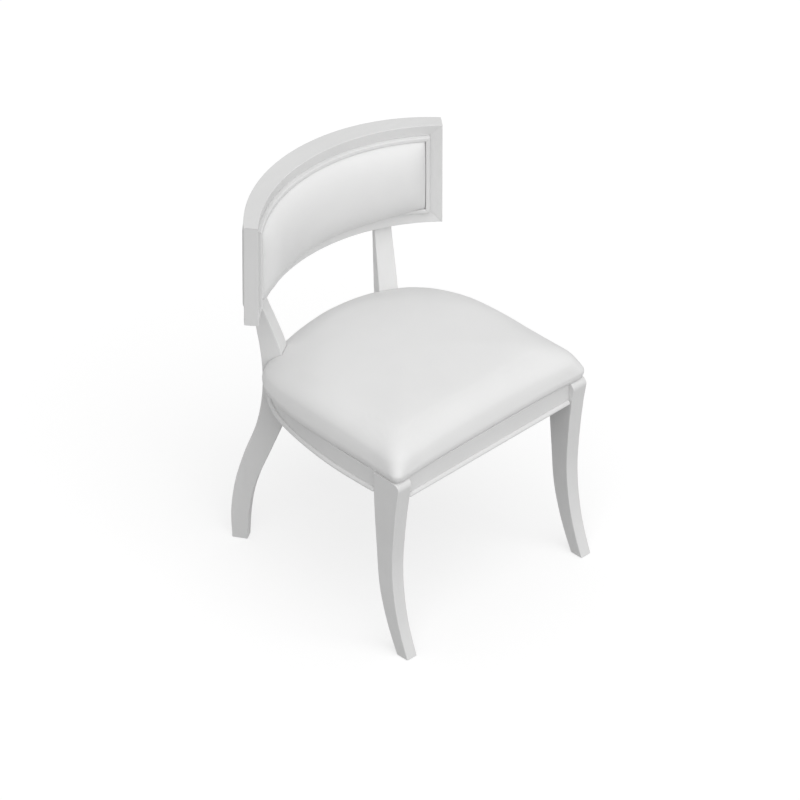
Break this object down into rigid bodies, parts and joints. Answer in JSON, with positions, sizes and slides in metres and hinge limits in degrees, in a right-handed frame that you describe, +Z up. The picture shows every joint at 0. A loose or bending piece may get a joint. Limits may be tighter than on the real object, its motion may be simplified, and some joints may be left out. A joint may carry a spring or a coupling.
{
  "type": "klismos dining chair",
  "caption": "Klismos dining chair with sabre legs, bowed seat rails, a padded seat and a deeply curved upholstered back in a mitred frame.",
  "frame": {"origin": "on the floor, under the middle of the chair's box", "axes": "+Z up from the floor, the sitter faces -Y, +X to the right as seen from the front"},
  "size_m": [0.5238, 0.5462, 0.7969],
  "materials": {
    "painted_wood": "satin off-white paint",
    "bare_wood": "bare, planed",
    "plywood": "bare plywood",
    "leather": "smooth, satin, white",
    "foam": "cut foam",
    "dust_cloth": "matt black",
    "zinc_steel": "zinc plated",
    "grey_nylon": "moulded"
  },
  "bodies": {
    "root": {"front_leg_left": "painted_wood", "rear_leg_left": "painted_wood", "side_rail_left": "painted_wood", "side_bead_left": "painted_wood", "corner_block_front_left": "bare_wood", "corner_block_rear_left": "bare_wood", "front_leg_right": "painted_wood", "rear_leg_right": "painted_wood", "side_rail_right": "painted_wood", "side_bead_right": "painted_wood", "corner_block_front_right": "bare_wood", "corner_block_rear_right": "bare_wood", "front_rail": "painted_wood", "rear_rail": "painted_wood", "front_bead": "painted_wood", "seat_board": "plywood", "seat_foam": "foam", "seat_cover": "leather", "dust_cover": "dust_cloth", "back_top_rail": "painted_wood", "back_bottom_rail": "painted_wood", "back_bead_top": "painted_wood", "back_bead_bottom": "painted_wood", "back_stile_left": "painted_wood", "back_bead_left": "painted_wood", "mitre_spline_top_left": "bare_wood", "mitre_spline_bottom_left": "bare_wood", "post_dowel_left_inner": "bare_wood", "post_dowel_left_outer": "bare_wood", "back_stile_right": "painted_wood", "back_bead_right": "painted_wood", "mitre_spline_top_right": "bare_wood", "mitre_spline_bottom_right": "bare_wood", "post_dowel_right_inner": "bare_wood", "post_dowel_right_outer": "bare_wood", "back_board": "plywood", "back_foam": "foam", "back_cover": "leather", "outside_back": "leather", "block_screw_front_left_1": "zinc_steel", "block_screw_front_left_2": "zinc_steel", "seat_screw_front_left": "zinc_steel", "block_screw_rear_left_1": "zinc_steel", "block_screw_rear_left_2": "zinc_steel", "seat_screw_rear_left": "zinc_steel", "block_screw_front_right_1": "zinc_steel", "block_screw_front_right_2": "zinc_steel", "seat_screw_front_right": "zinc_steel", "block_screw_rear_right_1": "zinc_steel", "block_screw_rear_right_2": "zinc_steel", "seat_screw_rear_right": "zinc_steel", "floor_glide_front_left": "grey_nylon", "floor_glide_rear_left": "grey_nylon", "floor_glide_front_right": "grey_nylon", "floor_glide_rear_right": "grey_nylon"}
  },
  "joints": []
}
